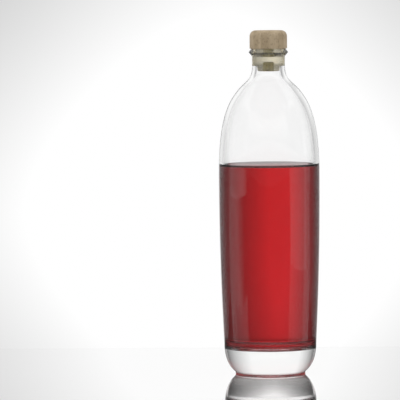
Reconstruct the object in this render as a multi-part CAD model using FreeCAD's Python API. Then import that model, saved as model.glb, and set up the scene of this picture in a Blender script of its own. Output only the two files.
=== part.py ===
"""Stoppered glass liquor bottle, part full of drink.

Millimetres, +Z up. The origin is the middle of the foot, on the surface that the bottle stands on.
Every piece is turned about the Z axis, so each one is drawn as a half outline of radius and height.
"""
import FreeCAD, Part
import math
import os

# ---- driving dimensions, mm ----------------------------------------------------------------

# Overall shape of the glass
belly_radius = 39.7           # the widest place, near the level of the drink
belly_height = 159.0
foot_radius = 27.9            # where the heel begins to curve up
foot_height = 1.8             # height of the bearing ring under the foot
heel_radius = 36.3            # top of the rounded heel
heel_height = 22.5
shoulder_radius = 26.95       # where the shoulder stops bulging and starts to hollow
shoulder_height = 220.5
neck_radius = 12.95
neck_height = 242.5           # bottom of the straight neck
mouth_height = 256.5

# Directions of the skin at those places, degrees up from straight out
foot_lean = 42.0
heel_lean = 87.5
belly_lean = 90.0
shoulder_lean = 124.0
neck_lean = 90.0

# How strongly the skin keeps each direction, as the length of the curve's handle
foot_pull = 4.5
heel_pull_below = 12.8
heel_pull_above = 35.0
belly_pull_below = 70.0
belly_pull_above = 45.0
shoulder_pull_below = 6.0
shoulder_pull_above = 13.5
neck_pull = 12.0

# Wall and floor of the glass
belly_wall = 3.4
shoulder_wall = 3.8
bore_radius = 9.45
bore_bottom = 242.0           # bottom of the straight bore
floor_height = 20.0           # the thick base, measured at the edge of the floor
floor_rise = 0.6              # how much the floor is higher in the middle
floor_fullness = 0.75         # share of that rise still left half way out
floor_edge_radius = 23.0      # where the floor begins to curve up into the wall
inner_corner_radius = 8.5
inner_wall_radius = 33.0      # inside of the wall just above that corner
inner_wall_height = 30.0
inner_wall_lean = 88.2
inner_wall_pull = 35.0
inner_heel_radius = 32.7      # where the wall and the floor would meet without that curve
inner_shoulder_pull = 15.4    # handle of the inner curve above the shoulder

# Foot: a knurled bearing ring round a hollow underside
ring_inner_radius = 24.2
ring_outer_radius = 27.5
ring_edge = 0.25
hollow_height = 3.2           # top of the hollow, over the table
hollow_fullness = 0.75        # share of the hollow's height reached half way out
knurl_count = 54
knurl_radius = 1.2
knurl_depth = 1.5
knurl_overrun = 1.5           # how far each groove runs past the ring, inwards
knurl_overrun_outside = 1.2

# Bead round the mouth
bead_radius = 15.65
bead_height = 253.7
bead_bottom = 250.4
bead_nose = 0.7
bead_root = 0.6
lip_radius = 13.5
lip_round = 0.8

# Drink
drink_level = 163.8
meniscus_height = 2.1
meniscus_width = 3.2
meniscus_angle = 22.0         # between the drink's skin and the wall
meniscus_pull = 0.6           # handles of the creeping curve, as a share of its size

# Room that the cutting shapes need beyond the glass
clear_above = 5.0
clear_outside = 5.0
clear_along = 2.0

# Stopper
shank_bottom = 238.6
shank_end_radius = 8.6
shank_round = 1.4
shank_seat = 243.0            # the shank fills the bore above this height
head_radius = 14.75
head_bottom = mouth_height
head_top = 270.9
head_round_top = 4.6
head_round_bottom = 0.6

# ---- drawing helpers -----------------------------------------------------------------------


def point(radius, height):
    """A point of a half outline, in the XZ plane."""
    return FreeCAD.Vector(radius, 0, height)


def heading(degrees):
    """The unit direction that leans by this angle up from straight out."""
    angle = math.radians(degrees)
    return point(math.cos(angle), math.sin(angle))


def swept_curve(start, start_lean, start_pull, end, end_lean, end_pull):
    """A cubic that leaves start along one direction and reaches end along another."""
    curve = Part.BezierCurve()
    near = start + heading(start_lean) * start_pull
    far = end - heading(end_lean) * end_pull
    curve.setPoles([start, near, far, end])
    return curve.toShape()


def rounded_line(corners):
    """Straight runs through corners of (point, rounding radius), each joined by a tangent arc."""
    edges = []
    last = corners[0][0]
    for (before, _), (corner, radius), (after, _) in zip(corners, corners[1:], corners[2:]):
        if radius == 0:
            edges.append(Part.LineSegment(last, corner).toShape())
            last = corner
            continue
        back = (before - corner).normalize()
        ahead = (after - corner).normalize()
        half = back.getAngle(ahead) / 2
        reach = radius / math.tan(half)
        arc_start = corner + back * reach
        arc_end = corner + ahead * reach
        middle = (back + ahead).normalize() * (radius / math.sin(half) - radius)
        edges.append(Part.LineSegment(last, arc_start).toShape())
        edges.append(Part.Arc(arc_start, corner + middle, arc_end).toShape())
        last = arc_end
    edges.append(Part.LineSegment(last, corners[-1][0]).toShape())
    return edges


def turned(edges):
    """The solid made by turning a closed half outline once round the Z axis."""
    wire = Part.Wire(Part.__sortEdges__(edges))
    solid = Part.Face(wire).revolve(point(0, 0), FreeCAD.Vector(0, 0, 1), 360)
    if solid.Volume < 0:
        solid.reverse()
    return solid


def inset(radius, height, lean, wall):
    """The place one wall thickness inside the outer skin."""
    return point(radius, height) + heading(lean + 90) * wall


# ---- the outer skin's and the inner skin's curves ------------------------------------------

foot_edge = point(foot_radius, foot_height)
heel = point(heel_radius, heel_height)
belly = point(belly_radius, belly_height)
shoulder = point(shoulder_radius, shoulder_height)
neck = point(neck_radius, neck_height)

inner_wall = point(inner_wall_radius, inner_wall_height)
inner_belly = inset(belly_radius, belly_height, belly_lean, belly_wall)
inner_shoulder = inset(shoulder_radius, shoulder_height, shoulder_lean, shoulder_wall)
inner_neck = point(bore_radius, bore_bottom)


def outer_skin():
    """Heel, body, shoulder and neck hollow, from the foot up to the straight neck."""
    return [
        swept_curve(foot_edge, foot_lean, foot_pull, heel, heel_lean, heel_pull_below),
        swept_curve(heel, heel_lean, heel_pull_above, belly, belly_lean, belly_pull_below),
        swept_curve(belly, belly_lean, belly_pull_above,
                    shoulder, shoulder_lean, shoulder_pull_below),
        swept_curve(shoulder, shoulder_lean, shoulder_pull_above, neck, neck_lean, neck_pull),
    ]


def inner_skin():
    """The same sweep one wall further in, from above the floor's corner up to the bore."""
    return [
        swept_curve(inner_wall, inner_wall_lean, inner_wall_pull,
                    inner_belly, belly_lean, belly_pull_below - belly_wall),
        swept_curve(inner_belly, belly_lean, belly_pull_above - belly_wall,
                    inner_shoulder, shoulder_lean, shoulder_pull_below),
        swept_curve(inner_shoulder, shoulder_lean, inner_shoulder_pull,
                    inner_neck, neck_lean, neck_pull),
    ]


# ---- pieces --------------------------------------------------------------------------------


def make_cavity():
    """All the room inside the glass, from the floor out through the mouth."""
    top = mouth_height + clear_above
    floor_arc_middle = point(floor_edge_radius / 2, floor_height + floor_fullness * floor_rise)
    floor_middle = point(0, floor_height + floor_rise)
    floor_edge = point(floor_edge_radius, floor_height)
    floor = Part.Arc(floor_middle, floor_arc_middle, floor_edge).toShape()
    corner = rounded_line([
        (floor_edge, 0),
        (point(inner_heel_radius, floor_height), inner_corner_radius),
        (inner_wall, 0),
    ])
    bore = rounded_line([
        (inner_neck, 0),
        (point(bore_radius, top), 0),
        (point(0, top), 0),
        (floor_middle, 0),
    ])
    return turned([floor] + corner + inner_skin() + bore)


def make_glass(cavity):
    """The bottle itself, with its bead, hollow underside and knurled bearing ring."""
    hollow_edge = point(ring_inner_radius, foot_height)
    hollow_rise = hollow_fullness * (hollow_height - foot_height)
    hollow_middle = point(ring_inner_radius / 2, foot_height + hollow_rise)
    hollow = Part.Arc(point(0, hollow_height), hollow_middle, hollow_edge).toShape()
    ring = rounded_line([
        (hollow_edge, 0),
        (point(ring_inner_radius, 0), ring_edge),
        (point(ring_outer_radius, 0), ring_edge),
        (point(ring_outer_radius, foot_height), 0),
        (foot_edge, 0),
    ])
    finish = rounded_line([
        (neck, 0),
        (point(neck_radius, bead_bottom), bead_root),
        (point(bead_radius, bead_height), bead_nose),
        (point(lip_radius, mouth_height), lip_round),
        (point(0, mouth_height), 0),
        (point(0, hollow_height), 0),
    ])
    glass = turned([hollow] + ring + outer_skin() + finish).cut(cavity)
    return glass.cut(make_knurls())


def make_knurls():
    """Half-round grooves that cross the bearing ring like spokes."""
    start = ring_inner_radius - knurl_overrun
    length = ring_outer_radius + knurl_overrun_outside - start
    grooves = []
    for index in range(knurl_count):
        turn = 360.0 * (index + 0.5) / knurl_count
        groove = Part.makeCylinder(knurl_radius, length,
                                   FreeCAD.Vector(start, 0, knurl_depth - knurl_radius),
                                   FreeCAD.Vector(1, 0, 0))
        groove.rotate(FreeCAD.Vector(0, 0, 0), FreeCAD.Vector(0, 0, 1), turn)
        grooves.append(groove)
    return Part.makeCompound(grooves)


def make_drink(cavity):
    """The drink: the cavity up to a level surface that creeps up the wall at its edge."""
    wall = belly_radius - belly_wall
    creep_start = point(wall - meniscus_width, drink_level)
    creep_end = point(wall, drink_level + meniscus_height)
    creep_lean = 90 - meniscus_angle
    creep = swept_curve(creep_start, 0, meniscus_width * meniscus_pull,
                        creep_end, creep_lean, meniscus_height * meniscus_pull)
    beyond = creep_end + heading(creep_lean) * clear_along
    outside = belly_radius + clear_outside
    rest = rounded_line([
        (beyond, 0),
        (point(outside, beyond.z), 0),
        (point(outside, 0), 0),
        (point(0, 0), 0),
        (point(0, drink_level), 0),
        (creep_start, 0),
    ])
    skin_end = Part.LineSegment(creep_end, beyond).toShape()
    return cavity.common(turned([creep, skin_end] + rest))


def make_shank():
    """The tapered plug of the stopper, which fills the bore for its upper half."""
    return turned(rounded_line([
        (point(0, head_bottom), 0),
        (point(0, shank_bottom), 0),
        (point(shank_end_radius, shank_bottom), shank_round),
        (point(bore_radius, shank_seat), 0),
        (point(bore_radius, head_bottom), 0),
        (point(0, head_bottom), 0),
    ]))


def make_head():
    """The turned head that rests on the mouth."""
    return turned(rounded_line([
        (point(0, head_bottom), 0),
        (point(head_radius, head_bottom), head_round_bottom),
        (point(head_radius, head_top), head_round_top),
        (point(0, head_top), 0),
        (point(0, head_bottom), 0),
    ]))


def main():
    os.makedirs("parts", exist_ok=True)
    cavity = make_cavity()
    pieces = {
        "bottle": make_glass(cavity),
        "drink": make_drink(cavity),
        "stopper_shank": make_shank(),
        "stopper_head": make_head(),
    }
    for node, solid in pieces.items():
        solid = solid.Solids[0]
        solid.exportStep("parts/" + node + ".step")
        box = solid.BoundBox
        print(node, "valid", solid.isValid(), "cm3", round(solid.Volume / 1000, 1),
              "z", round(box.ZMin, 2), round(box.ZMax, 2), "width", round(box.XLength, 2))


main()
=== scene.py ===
# %% [markdown]
# # A stoppered bottle of red liquor
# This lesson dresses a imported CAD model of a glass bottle. The CAD model fixes every size and place, and
# the cells below give each piece a fine surface and a finish: clear heavy glass, a red drink, a turned
# wooden head and a pale moulded plug. The first cell loads the model, because all that follows is measured
# from it.

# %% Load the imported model
import math

import bpy
import numpy as np
from mathutils import Euler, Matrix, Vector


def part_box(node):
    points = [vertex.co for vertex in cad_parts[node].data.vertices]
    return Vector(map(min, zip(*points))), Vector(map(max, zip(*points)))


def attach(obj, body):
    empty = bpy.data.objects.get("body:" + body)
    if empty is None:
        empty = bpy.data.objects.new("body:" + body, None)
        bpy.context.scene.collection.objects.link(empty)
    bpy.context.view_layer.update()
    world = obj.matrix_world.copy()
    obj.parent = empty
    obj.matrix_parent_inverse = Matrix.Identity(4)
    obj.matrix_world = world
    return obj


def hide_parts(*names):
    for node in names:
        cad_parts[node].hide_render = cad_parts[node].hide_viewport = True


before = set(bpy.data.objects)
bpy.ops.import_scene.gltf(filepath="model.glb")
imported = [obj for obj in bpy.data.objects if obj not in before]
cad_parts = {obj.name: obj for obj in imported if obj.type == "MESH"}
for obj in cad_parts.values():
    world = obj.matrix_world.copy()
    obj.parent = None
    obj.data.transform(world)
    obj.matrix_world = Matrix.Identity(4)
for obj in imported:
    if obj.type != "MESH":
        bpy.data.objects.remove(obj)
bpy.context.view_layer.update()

MM = 0.001

# %% [markdown]
# ## Sizes
# A bottle is turned about one axis, so a few radii and heights describe it. The outermost ones are read
# from the frame's boxes, which keeps the looks in step with the CAD model. The rest are the glassmaker's
# own numbers: the places where the curve changes its sweep, its lean there, and the wall.

# %% Sizes in millimetres
glass_low, glass_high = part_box("bottle")
drink_low, drink_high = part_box("drink")
shank_low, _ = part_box("stopper_shank")
head_low, head_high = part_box("stopper_head")

belly_radius = round((glass_high.x - glass_low.x) / 2 / MM, 2)
mouth_height = round(glass_high.z / MM, 2)
floor_height = round(drink_low.z / MM, 2)
drink_top = round(drink_high.z / MM, 2)
shank_bottom = round(shank_low.z / MM, 2)
head_radius = 14.75
head_bottom = round(head_low.z / MM, 2)
head_top = round(head_high.z / MM, 2)

belly_height = 159.0
foot_radius, foot_height = 27.9, 1.8
heel_radius, heel_height = 36.3, 22.5
shoulder_radius, shoulder_height = 26.95, 220.5
neck_radius, neck_height = 12.95, 242.5
foot_lean, heel_lean, belly_lean, shoulder_lean, neck_lean = 42.0, 87.5, 90.0, 124.0, 90.0
belly_wall, shoulder_wall, bore_radius = 3.4, 3.8, 9.45
print("belly", belly_radius, "mouth", mouth_height, "drink", floor_height, drink_top, "head", head_radius)

# %% [markdown]
# ## Drawing an outline
# Each piece is half an outline of (radius, height) points, drawn from its lower pole outwards, up and back
# to its upper pole. Two helpers draw all of it: one cubic that leaves and arrives in given directions, for
# the flowing skin, and one chain of straight runs with rounded corners, for the foot, the bead and the
# stopper.

# %% Outline helpers


def heading(degrees):
    """Unit direction (cos a, sin a) that leans by this angle up from straight out."""
    return np.array([math.cos(math.radians(degrees)), math.sin(math.radians(degrees))])


def sweep(start, start_lean, start_pull, end, end_lean, end_pull, steps):
    """Cubic curve (1-t)^3 A + 3(1-t)^2 t B + 3(1-t) t^2 C + t^3 D, with B and C along the two leans."""
    t = np.linspace(0, 1, steps)[:, None]
    a, d = np.array(start, float), np.array(end, float)
    b, c = a + heading(start_lean) * start_pull, d - heading(end_lean) * end_pull
    return (1 - t) ** 3 * a + 3 * (1 - t) ** 2 * t * b + 3 * (1 - t) * t ** 2 * c + t ** 3 * d


def run(start, end, steps):
    """Straight run A + t (B - A)."""
    t = np.linspace(0, 1, steps)[:, None]
    return np.array(start) + t * (np.array(end) - np.array(start))


def corner(before, at, after, radius, steps=7):
    """Arc that rounds a corner, with its centre on the bisector, radius / sin(half) away from the corner."""
    before, at, after = (np.array(p, float) for p in (before, at, after))
    back = (before - at) / np.linalg.norm(before - at)
    ahead = (after - at) / np.linalg.norm(after - at)
    half = math.acos(np.clip(back @ ahead, -1, 1)) / 2
    bisector = (back + ahead) / np.linalg.norm(back + ahead)
    centre = at + bisector * radius / math.sin(half)
    first = at + back * radius / math.tan(half) - centre
    last = at + ahead * radius / math.tan(half) - centre
    t = np.linspace(0, 1, steps)[:, None]
    span = math.pi - 2 * half
    return centre + (np.sin((1 - t) * span) * first + np.sin(t * span) * last) / math.sin(span)


def outline(*stretches):
    """Joins stretches end to end and drops the points that two of them share."""
    line = np.concatenate([np.atleast_2d(np.array(s, float)) for s in stretches])
    gap = np.linalg.norm(np.diff(line, axis=0), axis=1)
    return line[np.append(True, gap > 1e-6)]


# %% [markdown]
# ## Turning an outline
# Spin in an edit mode would do this too, but arrays are quicker and let the radius change with the angle,
# which the knurls and the uneven wall need. Rows follow the outline, columns go round, and the two end rows
# are single points, so the shell is closed and its faces point outwards.

# %% Turning helper


def turned(name, radius, height):
    """Shell x = r cos a, y = r sin a, z = h, where r and h are grids of outline rows by angle columns."""
    rows, columns = radius.shape
    angle = np.arange(columns) * 2 * np.pi / columns
    grid = np.stack([radius * np.cos(angle), radius * np.sin(angle), height], axis=-1)
    ring = grid[1:-1].reshape(-1, 3)
    points = np.vstack([grid[:1, :1].reshape(1, 3), ring, grid[-1:, :1].reshape(1, 3)]) * MM
    here = 1 + np.arange((rows - 2) * columns).reshape(rows - 2, columns)
    beside = np.roll(here, -1, axis=1)
    quads = np.stack([here[:-1], beside[:-1], beside[1:], here[1:]], axis=-1).reshape(-1, 4)
    lower = np.stack([np.zeros(columns, int), beside[0], here[0]], axis=-1)
    upper = np.stack([here[-1], beside[-1], np.full(columns, len(points) - 1)], axis=-1)
    mesh = bpy.data.meshes.new(name)
    mesh.from_pydata(points.tolist(), [], lower.tolist() + quads.tolist() + upper.tolist())
    mesh.polygons.foreach_set("use_smooth", [True] * len(mesh.polygons))
    mesh.update()
    piece = bpy.data.objects.new(name, mesh)
    bpy.context.scene.collection.objects.link(piece)
    print(name, rows, "x", columns, "->", 2 * len(quads) + 2 * columns, "triangles")
    return piece


def plain_grid(line, columns):
    """The same outline at every angle."""
    return np.repeat(line[:, :1], columns, axis=1), np.repeat(line[:, 1:], columns, axis=1)


# %% [markdown]
# ## The glass
# One closed shell makes the whole bottle: under the foot, up the outside, over the mouth and down the
# inside to the floor. Glass is only right when it has both skins, because light bends at each of them. Each
# skin flows through a few fixed places. A curve's pull is the length of its handle there, and a long handle
# keeps the curve in its direction for longer.

# %% Outline of the glass
foot_edge = (foot_radius, foot_height)
heel = (heel_radius, heel_height)
belly = (belly_radius, belly_height)
shoulder = (shoulder_radius, shoulder_height)
neck = (neck_radius, neck_height)
inner_wall, inner_wall_lean, bore_bottom = (33.0, 30.0), 88.2, 242.0
inner_belly = (belly_radius - belly_wall, belly_height)
inner_shoulder = tuple(np.array(shoulder) + heading(shoulder_lean + 90) * shoulder_wall)
inner_neck = (bore_radius, bore_bottom)

foot_pull, neck_pull, inner_wall_pull = 4.5, 12.0, 35.0
heel_pull_below, heel_pull_above = 12.8, 35.0
belly_pull_below, belly_pull_above = 70.0, 45.0
shoulder_pull_below, shoulder_pull_above = 6.0, 13.5
inner_shoulder_pull = shoulder_pull_above + shoulder_wall / 2

outer_skin = outline(
    sweep(foot_edge, foot_lean, foot_pull, heel, heel_lean, heel_pull_below, 26),
    sweep(heel, heel_lean, heel_pull_above, belly, belly_lean, belly_pull_below, 34),
    sweep(belly, belly_lean, belly_pull_above, shoulder, shoulder_lean, shoulder_pull_below, 34),
    sweep(shoulder, shoulder_lean, shoulder_pull_above, neck, neck_lean, neck_pull, 22),
)
inner_skin = outline(
    sweep(inner_wall, inner_wall_lean, inner_wall_pull,
          inner_belly, belly_lean, belly_pull_below - belly_wall, 30),
    sweep(inner_belly, belly_lean, belly_pull_above - belly_wall,
          inner_shoulder, shoulder_lean, shoulder_pull_below, 30),
    sweep(inner_shoulder, shoulder_lean, inner_shoulder_pull, inner_neck, neck_lean, neck_pull, 18),
)
print("outer skin", len(outer_skin), "points, inner skin", len(inner_skin))

# %% [markdown]
# ### Foot, bead, mouth and floor
# The bottle stands on a narrow ring round a shallow hollow, so that it does not rock. The bead stiffens the
# mouth, and its upper side slopes in to the lip that the stopper rests on. The floor is thick and almost
# flat, and a wide curve leads it into the wall. The ends have small radii, so straight runs with rounded
# corners suit them better than cubics.

# %% Foot, bead, mouth and floor
hollow_height, hollow_steps = 3.2, 14
ring_inner, ring_outer, ring_edge = 24.2, 27.5, 0.25
hollow_edge = (ring_inner, foot_height)
hollow_span = np.linspace(0, 1, hollow_steps)
hollow = np.stack([np.linspace(0, ring_inner, hollow_steps),
                   hollow_height + (foot_height - hollow_height) * hollow_span ** 2], axis=-1)
foot_ring = outline(
    corner(hollow_edge, (ring_inner, 0), (ring_outer, 0), ring_edge, 5),
    run((ring_inner + ring_edge, 0), (ring_outer - ring_edge, 0), 5),
    corner((ring_inner, 0), (ring_outer, 0), (ring_outer, foot_height), ring_edge, 5),
    [(ring_outer, foot_height)],
)
neck_top, bead_bottom, bead_nose = (neck_radius, 248.7), (neck_radius, 250.4), (15.65, 253.7)
lip, bore_edge = (13.5, mouth_height), (bore_radius, mouth_height)
bead_root_round, bead_nose_round, lip_round, bore_edge_round = 0.6, 0.7, 0.8, 0.3
finish = outline(
    run(neck, neck_top, 4),
    corner(neck, bead_bottom, bead_nose, bead_root_round, 7),
    corner(bead_bottom, bead_nose, lip, bead_nose_round, 11),
    corner(bead_nose, lip, bore_edge, lip_round, 7),
    corner(lip, bore_edge, inner_neck, bore_edge_round, 5),
)
floor_rise, floor_edge_radius, inner_corner_round = 0.6, 23.0, 8.1
floor_edge = (floor_edge_radius, floor_height)
floor_corner = (32.7, floor_height)
floor_span = np.linspace(1, 0, 14)
floor = np.stack([floor_edge_radius * floor_span,
                  floor_height + floor_rise * (1 - floor_span ** 2)], axis=-1)
inner_corner = corner(inner_wall, floor_corner, floor_edge, inner_corner_round, 18)
glass_outline = outline(hollow, foot_ring, outer_skin, finish, inner_skin[::-1], inner_corner, floor)
inside_start = len(outline(hollow, foot_ring, outer_skin, finish))
print("glass outline", len(glass_outline), "points")

# %% [markdown]
# ## Knurls and an uneven wall
# The foot of a blown bottle stands on a ring of small knurls, which keep the hot glass off the belt. Its
# inner wall is never quite round: it carries long faint waves, and these draw the upright streaks in every
# reflection. Both are real relief here, a function of the angle and the height, because glass shows its
# shape and not its colour.

# %% Relief of the glass
knurl_count, knurl_depth, columns_per_knurl, ring_margin = 54, 1.5, 6, 0.5
glass_columns = knurl_count * columns_per_knurl
round_angle = np.arange(glass_columns) * 2 * np.pi / glass_columns
still_floor, floor_fade = 6, 20
still_bore, bore_fade = 1, 6


def knurl_grid(radius, height):
    """Height raised by depth * (1 - cos(n a)) / 2 where the ring is lowest, fading out over its flanks."""
    on_ring = (radius > ring_inner - ring_margin) * (radius < ring_outer + ring_margin)
    low = np.clip(1 - height / foot_height, 0, 1) * on_ring
    return height + knurl_depth * low * (1 - np.cos(knurl_count * round_angle)) / 2


def wall_wave(angle, height):
    """Sum of waves size * cos(n a + drift h + start), in mm; the closer the waves, the lower they are."""
    waves = [(3, 0.050, 0.010, 0.4), (7, 0.022, -0.016, 1.9), (13, 0.012, 0.022, 3.1),
             (23, 0.007, -0.031, 0.8), (37, 0.004, 0.045, 5.0), (53, 0.0022, -0.060, 2.2)]
    return sum(size * np.cos(n * angle + drift * height + start) for n, size, drift, start in waves)


def inner_relief(radius, height, angle):
    """The wave of the inner wall, which fades out towards the floor and towards the bore."""
    off_floor = np.clip((height - floor_height - still_floor) / floor_fade, 0, 1)
    off_bore = np.clip((radius - bore_radius - still_bore) / bore_fade, 0, 1)
    return off_floor * off_bore * wall_wave(angle, height)


# %% [markdown]
# ### The shell
# The knurls raise the lowest rows of the shell, and the waves move only the rows of the inner skin. The
# rows come in the order of the outline, so the inner skin is all that follows the mouth.

# %% Build the glass
glass_radius, glass_height = plain_grid(glass_outline, glass_columns)
glass_height = knurl_grid(glass_radius, glass_height)
inside = np.arange(len(glass_outline))[:, None] >= inside_start
glass_radius = glass_radius + inside * inner_relief(glass_radius, glass_height, round_angle)
glass = turned("glass_bottle", glass_radius, glass_height)

# %% [markdown]
# ## The drink
# The drink fills the glass to its level. Its shell follows the inner wall but reaches a little way into the
# glass, so that no film of air is left between the two, and light bends by the right amount as it passes
# from one to the other. Its surface is level, and creeps up the wall at the edge, which gives the dark line
# round the top.

# %% Outline of the drink
drink_level, into_wall = 163.8, 0.15
creep_height, creep_width, wall_angle, creep_pull = 2.1, 3.2, 22.0, 0.6
wet_margin = 0.3
wall_here = np.interp(drink_level, inner_skin[:, 1], inner_skin[:, 0])
wet_wall = inner_skin[inner_skin[:, 1] < drink_level + creep_height - wet_margin]
creep_start, creep_top = (wall_here - creep_width, drink_level), (wall_here, drink_level + creep_height)
creep = sweep(creep_start, 0, creep_width * creep_pull,
              creep_top, 90 - wall_angle, creep_height * creep_pull, 14)[::-1]
print("inside radius at the level", round(float(wall_here), 2))

# %% [markdown]
# ### The drink's shell
# The outline is the wet part of the inner skin, moved down at the floor and out at the wall, and then the
# creeping edge and the level surface. It carries the same waves as the glass round it, so the step between
# the two skins is almost the same all the way round.

# %% Build the drink
drink_columns = 216
floor_reach, outward_start, outward_fade, wave_start, rim_drop = 27, 20, 8, 28, 0.05
wet_outline = outline(floor[::-1], inner_corner[::-1], wet_wall)
wet_outline[:, 1] -= np.where(wet_outline[:, 0] < floor_reach, into_wall, 0)
outward = np.clip((wet_outline[:, 0] - outward_start) / outward_fade, 0, 1) * into_wall
wet_outline[:, 0] += outward
drink_outline = outline(
    wet_outline,
    [(wall_here + into_wall, creep_top[1] - rim_drop), (wall_here + into_wall / 2, creep_top[1])],
    creep,
    run(creep_start, (0, drink_level), 12),
)
drink_radius, drink_height = plain_grid(drink_outline, drink_columns)
drink_angle = np.arange(drink_columns) * 2 * np.pi / drink_columns
drink_wave = inner_relief(drink_radius, drink_height, drink_angle) * (drink_radius > wave_start)
drink_radius = drink_radius + drink_wave
drink = turned("red_drink", drink_radius, drink_height)

# %% [markdown]
# ## The stopper
# A bar-top stopper is a wooden head glued on a moulded plug. The head is turned on a lathe: its lower edge
# is only eased, and its upper edge is rounded so that it is pleasant to hold.

# %% Build the head
head_columns = 160
shoulder_round, edge_round, edge_gap = 4.6, 0.6, 0.3
side_start, side_end = head_bottom + edge_round + edge_gap, head_top - shoulder_round - edge_round
head_outline = outline(
    run((0, head_bottom), (head_radius - 2 * edge_round, head_bottom), 8),
    corner((0, head_bottom), (head_radius, head_bottom), (head_radius, head_top), edge_round, 6),
    run((head_radius, side_start), (head_radius, side_end), 14),
    corner((head_radius, head_bottom), (head_radius, head_top), (0, head_top), shoulder_round, 16),
    run((head_radius - shoulder_round - edge_round, head_top), (0, head_top), 10),
)
head = turned("stopper_head_wood", *plain_grid(head_outline, head_columns))

# %% [markdown]
# ### The plug and its painted shade cores
# The plug is tapered at its end, so that it finds the mouth, and fills the bore above that. Its upper part
# reaches a little way into the glass, as the drink does, because a plug that is pressed home leaves no air.
# It is milky, and two olive cores show dimly through it as painted shade in its middle: one under the head
# and one at its lower end.

# %% Build the plug and its painted shade cores
plug_columns, shade_core_columns = 128, 64
shank_seat, plug_end, plug_round = 243.0, 8.6, 1.4
taper_start = (plug_end + 0.15, shank_bottom + plug_round + 0.2)
seat_step, top_inset = 0.3, 0.5
plug_fill = bore_radius + into_wall
plug_outline = outline(
    run((0, shank_bottom), (plug_end - plug_round, shank_bottom), 6),
    corner((0, shank_bottom), (plug_end, shank_bottom), (bore_radius, shank_seat), plug_round, 10),
    run(taper_start, (bore_radius, shank_seat), 8),
    run((plug_fill, shank_seat + seat_step), (plug_fill, head_bottom), 10),
    run((bore_radius - top_inset, head_bottom), (0, head_bottom), 5),
)
plug = turned("stopper_plug", *plain_grid(plug_outline, plug_columns))
low_round, low_flat, low_side = 0.5, 0.8, 0.9
high_round, high_flat, high_side = 1.2, 1.4, 1.6


def shade_core_between(name, low, high, low_radius, high_radius):
    """A tapered dark core that paints shade inside the plug, with eased rims; the flat and side values are
    where its straight runs stop for them.
    """
    line = outline(
        run((0, low), (low_radius - low_flat, low), 4),
        corner((0, low), (low_radius, low), (high_radius, high), low_round, 6),
        run((low_radius, low + low_side), (high_radius, high - high_side), 12),
        corner((low_radius, low), (high_radius, high), (0, high), high_round, 8),
        run((high_radius - high_flat, high), (0, high), 4),
    )
    return turned(name, *plain_grid(line, shade_core_columns))


# The two dark cores paint the shade of the plug's middle, one low and one under the head.
low_shade_core_start, low_shade_core_end = shank_bottom + 0.3, shank_bottom + 7.4
high_shade_core_start, high_shade_core_end = head_bottom - 6.4, head_bottom - 0.2
low_shade_core = shade_core_between("plug_low_shade_core", low_shade_core_start, low_shade_core_end, 3.5, 3.3)
high_shade_core = shade_core_between("plug_high_shade_core", high_shade_core_start, high_shade_core_end, 3.4, 4.0)

# %% [markdown]
# ## Finishes
# Each finish is a small node tree. The helpers keep the cells short. One makes a material with its shader,
# one adds a node and sets its inputs, and two more give a fine relief and a colour that grows with depth.
# Numbers that are the same all over are set on the shader's own sockets.

# %% Material helpers
relief_depth = 0.0002


def new_finish(name, **settings):
    """A material with one Principled shader, whose named sockets are set to plain values."""
    finish = bpy.data.materials.new(name)
    finish.use_nodes = True
    shader = finish.node_tree.nodes["Principled BSDF"]
    for socket, value in settings.items():
        shader.inputs[socket.replace("_", " ")].default_value = value
    return finish, shader


def node(finish, kind, inputs=None, **settings):
    """Adds a node of this kind, sets its properties, and links or sets its inputs."""
    made = finish.node_tree.nodes.new(kind)
    for key, value in settings.items():
        setattr(made, key, value)
    for key, value in (inputs or {}).items():
        if isinstance(value, bpy.types.NodeSocket):
            finish.node_tree.links.new(value, made.inputs[key])
        else:
            made.inputs[key].default_value = value
    return made


def link(finish, source, target):
    """Joins an output to an input."""
    finish.node_tree.links.new(source, target)


def to_surface(finish, source):
    """What the material looks like."""
    link(finish, source, finish.node_tree.nodes["Material Output"].inputs["Surface"])


def absorb(finish, colour, density):
    """What the inside of the piece takes away from light, more of it the further the light goes."""
    tint = node(finish, "ShaderNodeVolumeAbsorption", {"Color": colour, "Density": density})
    link(finish, tint.outputs[0], finish.node_tree.nodes["Material Output"].inputs["Volume"])


def relief(finish, shader, strength, height):
    """Bump from a pattern, at most relief_depth metres deep."""
    bump = node(finish, "ShaderNodeBump", {"Strength": strength, "Distance": relief_depth, "Height": height})
    link(finish, bump.outputs[0], shader.inputs["Normal"])


def place(finish, scale=(1, 1, 1)):
    """Object coordinates, stretched so that a pattern runs along the piece."""
    where = node(finish, "ShaderNodeTexCoord").outputs["Object"]
    return node(finish, "ShaderNodeMapping", {"Vector": where, "Scale": scale}).outputs[0]


def ramp(finish, factor, stops):
    """Colour ramp through (place, colour) stops."""
    made = node(finish, "ShaderNodeValToRGB", {"Fac": factor})
    elements = made.color_ramp.elements
    while len(elements) < len(stops):
        elements.new(0.5)
    for element, (position, colour) in zip(elements, stops):
        element.position = position
        element.color = (*colour, 1)
    return made.outputs["Color"]


def blend(finish, factor, first, second):
    """Mixes two colours by a factor from 0 to 1."""
    made = node(finish, "ShaderNodeMix", data_type="RGBA")
    for socket, value in ((made.inputs[0], factor), (made.inputs[6], first), (made.inputs[7], second)):
        if isinstance(value, bpy.types.NodeSocket):
            link(finish, value, socket)
        else:
            socket.default_value = value
    return made.outputs[2]


def finished(piece, finish, node_name):
    """Gives the piece its finish, rides it on the one body, and lets it stand for its CAD node."""
    piece.data.materials.append(finish)
    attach(piece, "root")
    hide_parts(node_name)


# %% [markdown]
# ### Clear glass
# Clear bottle glass has a refractive index of 1.52. It is nearly colourless, with a trace of grey green
# that only shows through a thick base. Its skin is fire polished, with a faint unevenness that softens a
# reflection's edge.

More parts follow.
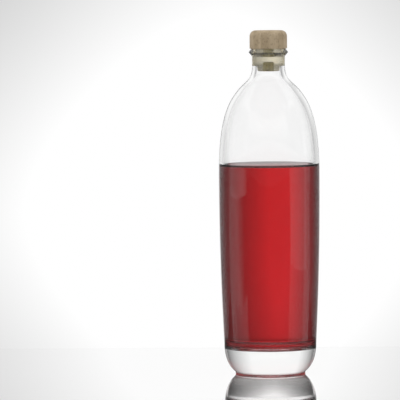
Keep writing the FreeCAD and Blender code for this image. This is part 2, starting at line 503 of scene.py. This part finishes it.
# %% Glass finish
glass_finish, glass_shader = new_finish("clear_flint_glass", Transmission_Weight=1.0, IOR=1.52,
                                        Base_Color=(1, 1, 1, 1))
glass_noise = node(glass_finish, "ShaderNodeTexNoise",
                   {"Vector": place(glass_finish, (1, 1, 0.3)), "Scale": 90.0, "Detail": 2.0})
glass_rough = node(glass_finish, "ShaderNodeMapRange",
                   {"Value": glass_noise.outputs[0], "From Min": 0.3, "From Max": 0.8,
                    "To Min": 0.0, "To Max": 0.012})
link(glass_finish, glass_rough.outputs[0], glass_shader.inputs["Roughness"])
relief(glass_finish, glass_shader, 0.03, glass_noise.outputs[0])
absorb(glass_finish, (0.90, 0.95, 0.91, 1), 1.5)
finished(glass, glass_finish, "bottle")

# %% [markdown]
# ### Red drink
# The drink is clear and takes its colour from its depth: green and blue are gone after a few centimetres,
# and a little red with them. That is what a volume's absorption does, so the thin edge at the surface stays
# paler than the body.

# %% Drink finish
drink_finish, _ = new_finish("clear_red_drink", Transmission_Weight=1.0, IOR=1.345, Roughness=0.0,
                             Base_Color=(1, 1, 1, 1))
absorb(drink_finish, (0.89, 0.0, 0.06, 1), 60.0)
finished(drink, drink_finish, "drink")

# %% [markdown]
# ### Turned wood
# The head is pale close-grained wood with its grain upright. Long soft bands give the grain, and small dark
# flecks, longer than they are wide, are the rays that such wood shows.

# %% Wood finish
wood_finish, wood_shader = new_finish("pale_turned_wood", Roughness=0.62)
wood_bands = node(wood_finish, "ShaderNodeTexNoise",
                  {"Vector": place(wood_finish, (1, 1, 0.16)), "Scale": 260.0, "Detail": 5.0})
dark_band, wood_tone, pale_band = (0.385, 0.29, 0.175), (0.485, 0.375, 0.24), (0.575, 0.46, 0.313)
fleck_tone = (0.17, 0.115, 0.07, 1)
wood_colour = ramp(wood_finish, wood_bands.outputs[0],
                   [(0.30, dark_band), (0.52, wood_tone), (0.75, pale_band)])
flecks = node(wood_finish, "ShaderNodeTexVoronoi",
              {"Vector": place(wood_finish, (1, 1, 0.28)), "Scale": 1100.0})
fleck_mask = node(wood_finish, "ShaderNodeMapRange",
                  {"Value": flecks.outputs["Distance"], "From Min": 0.12, "From Max": 0.34,
                   "To Min": 0.8, "To Max": 0.0})
wood_face = blend(wood_finish, fleck_mask.outputs[0], wood_colour, fleck_tone)
link(wood_finish, wood_face, wood_shader.inputs["Base Color"])
relief(wood_finish, wood_shader, 0.35, flecks.outputs["Distance"])
finished(head, wood_finish, "stopper_head")

# %% [markdown]
# ### Moulded plug
# The plug is cream plastic that lets most light through but blurs it, so its sides glow where the wall
# behind it is bright. A faint mottle and a fine relief keep it from looking machined.

# %% Plug finish
plug_finish, plug_shader = new_finish("milky_moulded_plug", Transmission_Weight=0.9, Roughness=0.25, IOR=1.3)
plug_mottle = node(plug_finish, "ShaderNodeTexNoise",
                   {"Vector": place(plug_finish), "Scale": 420.0, "Detail": 4.0})
cream, pale_cream = (1.0, 0.90, 0.67), (1.0, 0.95, 0.77)
plug_colour = ramp(plug_finish, plug_mottle.outputs[0], [(0.35, cream), (0.65, pale_cream)])
link(plug_finish, plug_colour, plug_shader.inputs["Base Color"])
relief(plug_finish, plug_shader, 0.3, plug_mottle.outputs[0])
finished(plug, plug_finish, "stopper_shank")

# %% [markdown]
# ### Painted shade cores
# The cores let no light through, so they stand out dark in the milky plug as painted shade in its middle. A
# soft noise makes their olive slightly uneven. Both share one finish and stand for the plug's CAD node,
# because they are part of it.

# %% Painted shade core finish
shade_core_finish, shade_core_shader = new_finish("olive_painted_shade_core", Roughness=0.5)
shade_core_noise = node(shade_core_finish, "ShaderNodeTexNoise",
                  {"Vector": place(shade_core_finish), "Scale": 500.0, "Detail": 2.0})
# Olive tones of the dark cores that paint the plug's shaded middle.
painted_shade_olive, pale_painted_shade_olive = (0.36, 0.32, 0.15), (0.49, 0.44, 0.235)
shade_core_colour = ramp(shade_core_finish, shade_core_noise.outputs[0], [(0.35, painted_shade_olive), (0.65, pale_painted_shade_olive)])
link(shade_core_finish, shade_core_colour, shade_core_shader.inputs["Base Color"])
finished(low_shade_core, shade_core_finish, "stopper_shank")
finished(high_shade_core, shade_core_finish, "stopper_shank")

# %% [markdown]
# ## The studio
# Glass is lit from behind: a white card behind it, fading to the sides, makes the body bright and draws its
# edges dark. A soft panel on each side gives the two long reflections. The table is pale and glossy, so the
# thick base stands on its own reflection.
#
# A real studio shapes its light with flags and grids. Here each part of the stage may show one strength to
# the camera, another in a reflection and another through glass. A ray counts how often it was bent and
# reflected, so the helpers below choose by that count. It is a whole number, so each test lies half a step
# between two of them.

# %% Cards, panels and light helpers
half_step = 0.5


def card(name, middle, width, height, yaw):
    """An upright sheet, from middle - half to middle + half of its width and height; it faces -Y at yaw 0."""
    side = np.array([math.cos(yaw), math.sin(yaw), 0]) * width / 2
    up = np.array([0, 0, height / 2])
    points = [np.array(middle) + a * side + b * up for a, b in ((-1, -1), (1, -1), (1, 1), (-1, 1))]
    made = sheet(name, points)
    return made


def sheet(name, points):
    """One flat face through four points, in metres."""
    mesh = bpy.data.meshes.new(name)
    mesh.from_pydata([tuple(map(float, p)) for p in points], [], [(0, 1, 2, 3)])
    made = bpy.data.objects.new(name, mesh)
    bpy.context.scene.collection.objects.link(made)
    return made


def maths(finish, operation, first, second=0.0):
    """One step of arithmetic on numbers or sockets."""
    return node(finish, "ShaderNodeMath", {0: first, 1: second}, operation=operation).outputs[0]


def multiply(finish, first, second):
    """The product of two numbers or sockets."""
    return maths(finish, "MULTIPLY", first, second)


def brighter(finish, first, second):
    """The larger of two numbers or sockets."""
    return maths(finish, "MAXIMUM", first, second)


def at_most(finish, value, gain, top=1.0):
    """The value times a gain, held at a top."""
    return maths(finish, "MINIMUM", multiply(finish, value, gain), top)


def falloff(finish, value, middle, half_width, power):
    """1 / (1 + (|x - middle| / half_width) ^ power): 1 in the middle, and a half at half_width away."""
    away = maths(finish, "ABSOLUTE", maths(finish, "SUBTRACT", value, middle))
    away = maths(finish, "POWER", maths(finish, "DIVIDE", away, half_width), power)
    return maths(finish, "DIVIDE", 1.0, maths(finish, "ADD", away, 1.0))


def rise(finish, value, start, end, low=0.0, high=1.0):
    """Smooth step from low to high while the value goes from start to end."""
    return node(finish, "ShaderNodeMapRange",
                {"Value": value, "From Min": start, "From Max": end, "To Min": low, "To Max": high},
                interpolation_type="SMOOTHSTEP").outputs[0]


def choose(finish, switch, off, on):
    """A number that is one value while the switch is 0 and the other while it is 1."""
    return node(finish, "ShaderNodeMix", {0: switch, 2: off, 3: on}, data_type="FLOAT").outputs[0]


def more_than(finish, rays, kind, times):
    """1 for a ray that was turned this way more than so many times."""
    return maths(finish, "GREATER_THAN", rays[kind + " Depth"], times + half_step)


def at_most_times(finish, rays, kind, times):
    """1 for a ray that was turned this way so many times or fewer."""
    return maths(finish, "LESS_THAN", rays[kind + " Depth"], times + half_step)


def after_matt(finish, rays):
    """1 for light that has reached a matt surface, also through glass, and 0 for what is seen as itself."""
    return more_than(finish, rays, "Diffuse", 0)


def see_through(finish):
    """Makes a glowing sheet clear from behind, so that it never stands before the object."""
    output = finish.node_tree.nodes["Material Output"]
    glow = output.inputs["Surface"].links[0].from_socket
    behind = node(finish, "ShaderNodeNewGeometry").outputs["Backfacing"]
    clear = node(finish, "ShaderNodeBsdfTransparent").outputs[0]
    to_surface(finish, node(finish, "ShaderNodeMixShader", {0: behind, 1: glow, 2: clear}).outputs[0])


def glowing(name):
    """A material that only gives off light, and its strength socket."""
    finish = bpy.data.materials.new(name)
    finish.use_nodes = True
    finish.node_tree.nodes.remove(finish.node_tree.nodes["Principled BSDF"])
    glow = node(finish, "ShaderNodeEmission", {"Color": (1, 1, 1, 1)})
    to_surface(finish, glow.outputs[0])
    return finish, glow.inputs["Strength"]


# %% [markdown]
# ### Backdrop
# A white card, lit in its middle, that the bottle stands before. To the camera it fades to a soft grey. In
# a reflection it shows the same bright spot, and its high part too where the ray was reflected only once.
# Through glass there are two cases. A ray through the empty glass bends four times and sees a wide glow, so
# the shoulder stays clear. A ray through the drink bends six times and sees a narrow glow that fades above
# and below, which draws the dark sides of the drink and the depth of its colour.

# %% Backdrop
backdrop_distance, backdrop_width, backdrop_height = 1.07, 5.0, 3.0
empty_glass_bends = 4
spot_across, spot_up, spot_reach, spot_power = -0.05, 0.06, 0.39, 1.7
spot_gain, reflected_gain, faint_grey = 1.35, 1.15, 0.62
wide_across, wide_reach, wide_power, wide_gain = -0.12, 0.75, 1.4, 1.5
narrow_across, narrow_reach, narrow_power, narrow_gain = -0.10, 0.335, 1.9, 1.1
faint_low, faint_high, high_glow, matt_strength = 0.42, 0.3, 0.75, 1.3

backdrop = card("backdrop", (0, backdrop_distance, 0.0), backdrop_width, backdrop_height, 0.0)
white, white_strength = glowing("white_card")
axes = node(white, "ShaderNodeSeparateXYZ", {0: node(white, "ShaderNodeTexCoord").outputs["Object"]})
across, upward = axes.outputs["X"], axes.outputs["Z"]
rays = node(white, "ShaderNodeLightPath").outputs

spot = multiply(white, falloff(white, across, spot_across, spot_reach, spot_power),
                falloff(white, upward, spot_up, spot_reach, spot_power))
seen = brighter(white, at_most(white, spot, spot_gain), faint_grey)

high_part = multiply(white, rise(white, upward, 0.25, 0.45), at_most_times(white, rays, "Glossy", 1))
mirrored = brighter(white, at_most(white, spot, reflected_gain), multiply(white, high_part, high_glow))

low_fade = rise(white, upward, -0.11, 0.03, faint_low, 1.0)
high_fade = rise(white, upward, 0.14, 0.32, 1.0, faint_high)
narrow = multiply(white, falloff(white, across, narrow_across, narrow_reach, narrow_power),
                  multiply(white, low_fade, high_fade))
wide = falloff(white, across, wide_across, wide_reach, wide_power)
through = choose(white, more_than(white, rays, "Transmission", empty_glass_bends),
                 at_most(white, wide, wide_gain), at_most(white, narrow, narrow_gain))

strength = choose(white, rays["Is Glossy Ray"], narrow, mirrored)
strength = choose(white, rays["Is Transmission Ray"], strength, through)
strength = choose(white, after_matt(white, rays), strength, matt_strength)
link(white, choose(white, rays["Is Camera Ray"], strength, seen), white_strength)
see_through(white)
backdrop.data.materials.append(white)
print("backdrop", backdrop_width, "x", backdrop_height, "m, stands", backdrop_distance, "m behind the bottle")

# %% [markdown]
# ### Side panels
# A soft panel on each side is mirrored in the glass as a long upright streak, which shows how round the
# body is. The camera itself does not see them, since they are there only to be mirrored. The right one is
# nearer and weaker than the left one, so the two streaks differ.

# %% Side panels
right_strength, left_strength = 0.42, 0.5
right_panel = card("right_panel", (0.66, -0.24, 0.36), 0.56, 0.74, math.radians(70))
left_panel = card("left_panel", (-0.88, -0.20, 0.45), 0.64, 0.74, math.radians(-77))
for panel, panel_strength in ((right_panel, right_strength), (left_panel, left_strength)):
    soft, soft_strength = glowing(panel.name + "_light")
    soft_strength.default_value = panel_strength
    panel.visible_camera = False
    panel.data.materials.append(soft)
    print(panel.name, "strength", panel_strength)

# %% [markdown]
# ### World
# The world is the rest of the room. A reflection sees a dim room with a bright ceiling, and sees it bright
# towards the back as well, from the level of the table up. A first reflection sees all of the upper half
# bright. A ray that was bent but never reflected sees an even pale room. One that was reflected too sees it
# dim towards the camera and bright above, and it is dim places like this that draw dark lines in clear
# glass. Matt pieces are lit by a room that is a little brighter behind them than in front.

# %% World
plain_room, dim_room, bright_room = 0.7, 0.12, 0.75
dim_ahead, top_light, matt_front, matt_back = 0.15, 0.9, 0.9, 1.3

world = bpy.data.worlds.new("studio")
world.use_nodes = True
bpy.context.scene.world = world
sky = world.node_tree.nodes["Background"]
sky.inputs["Color"].default_value = (1, 1, 1, 1)
sky_axes = node(world, "ShaderNodeSeparateXYZ", {0: node(world, "ShaderNodeTexCoord").outputs["Generated"]})
backward, skyward = sky_axes.outputs["Y"], sky_axes.outputs["Z"]
world_rays = node(world, "ShaderNodeLightPath").outputs

overhead = rise(world, skyward, 0.17, 0.28)
aside = multiply(world, rise(world, backward, -0.45, -0.10), rise(world, skyward, -0.03, 0.03))
first_mirror = multiply(world, at_most_times(world, world_rays, "Glossy", 1), rise(world, skyward, 0.0, 0.05))
bright = brighter(world, brighter(world, overhead, aside), first_mirror)
ceiling = choose(world, bright, dim_room, bright_room)

ahead = rise(world, backward, -0.6, 0.0, dim_ahead, bright_room)
ahead = brighter(world, ahead, multiply(world, rise(world, skyward, 0.15, 0.45), top_light))
through_glass = choose(world, more_than(world, world_rays, "Glossy", 0), bright_room, ahead)
on_matt = rise(world, backward, -0.85, 0.0, matt_front, matt_back)

around = choose(world, world_rays["Is Glossy Ray"], plain_room, ceiling)
around = choose(world, world_rays["Is Transmission Ray"], around, through_glass)
link(world, choose(world, after_matt(world, world_rays), around, on_matt), sky.inputs["Strength"])
print("world strength from", dim_room, "to", matt_back)

# %% [markdown]
# ### Table
# A pale table with a gloss coat. The coat mirrors little where it is looked down on and almost everything
# at a grazing angle, so from the camera it mirrors the backdrop and the bottle, and from above it shows its
# own tone. It is slightly rough, which blurs the reflection of the base. The camera sees the full mirror,
# and so does a ray that came through few skins, or one that was never reflected and lands away from the
# foot. The others see a mirror darkened by painted shade, with a painted shadow round the foot, or the thick
# base and the lower drink would fill with light from below.

# %% Table
table_back, table_front, table_side = 0.21, 2.4, 2.2
table = sheet("table", [(-table_side, -table_front, 0), (table_side, -table_front, 0),
                        (table_side, table_back, 0), (-table_side, table_back, 0)])
table_finish, table_shader = new_finish("pale_glossy_table", Base_Color=(0.75, 0.75, 0.74, 1), Roughness=0.3,
                                        Specular_IOR_Level=0.0)
# The dimmed mirror colour is painted shade in the table's reflection. Close round the foot it is a painted
# shadow.
painted_shade_mirror, full_mirror, coat_roughness = (0.2, 0.2, 0.2, 1), (1, 1, 1, 1), 0.03
painted_shadow_inner, painted_shadow_outer = 0.15, 0.22

slope = node(table_finish, "ShaderNodeLayerWeight", {"Blend": 0.5}).outputs["Facing"]
shine = rise(table_finish, slope, 0.2, 0.85, 0.03, 0.95)
table_rays = node(table_finish, "ShaderNodeLightPath").outputs
shallow = at_most_times(table_finish, table_rays, "Transmission", empty_glass_bends)
unreflected = at_most_times(table_finish, table_rays, "Glossy", 0)
from_foot = node(table_finish, "ShaderNodeVectorMath", {0: place(table_finish)},
                 operation="LENGTH").outputs["Value"]
# The painted shadow round the foot fades out between these two distances.
outside_painted_shadow = multiply(table_finish, unreflected, rise(table_finish, from_foot, painted_shadow_inner, painted_shadow_outer))
clear_view = multiply(table_finish, table_rays["Is Transmission Ray"],
                      brighter(table_finish, shallow, outside_painted_shadow))
direct = brighter(table_finish, table_rays["Is Camera Ray"], clear_view)
mirror = node(table_finish, "ShaderNodeBsdfGlossy",
              {"Color": blend(table_finish, direct, painted_shade_mirror, full_mirror), "Roughness": coat_roughness})
polished = node(table_finish, "ShaderNodeMixShader",
                {0: shine, 1: table_shader.outputs[0], 2: mirror.outputs[0]})
to_surface(table_finish, polished.outputs[0])
table.data.materials.append(table_finish)
print("table", 2 * table_side, "x", table_front + table_back, "m")

# %% [markdown]
# ## The camera
# A long lens, a few metres away and a little above the table, looks slightly down and to one side. It keeps
# the bottle's sides upright and shows its level and its foot as flat ovals.

# %% Camera
camera_data = bpy.data.cameras.new("camera")
camera_data.lens, camera_data.sensor_width = 360.0, 36.0
camera_data.clip_end = 100.0
camera = bpy.data.objects.new("camera", camera_data)
camera.location = (0.0, -3.15, 0.33)
tilt_down, pan_left, roll = math.radians(3.497), math.radians(0.9955), math.radians(-0.45)
camera.rotation_mode = "QUATERNION"
aim = Euler((math.pi / 2 - tilt_down, 0, pan_left)).to_quaternion()
camera.rotation_quaternion = aim @ Euler((0, 0, roll)).to_quaternion()
bpy.context.scene.collection.objects.link(camera)
bpy.context.scene.camera = camera
print("camera", round(camera.location.length, 2), "m from the foot, lens", camera_data.lens, "mm")

# %% [markdown]
# ## Light through glass
# A ray bends six times where it crosses the drink, and more by way of the neck or the table, so it is
# allowed many bounces before it is given up. Reflections need fewer. The diffuse ones are for the matt
# painted shade cores, which get their light through the milky plug. A denoiser clears what grain is left.

# %% Ray limits
cycles = bpy.context.scene.cycles
cycles.max_bounces = 24
cycles.transmission_bounces = 20
cycles.glossy_bounces = 8
cycles.diffuse_bounces = 8
cycles.use_denoising = True
bpy.context.scene.view_settings.view_transform = "Standard"
print("bounces", cycles.max_bounces, "of which through glass", cycles.transmission_bounces)
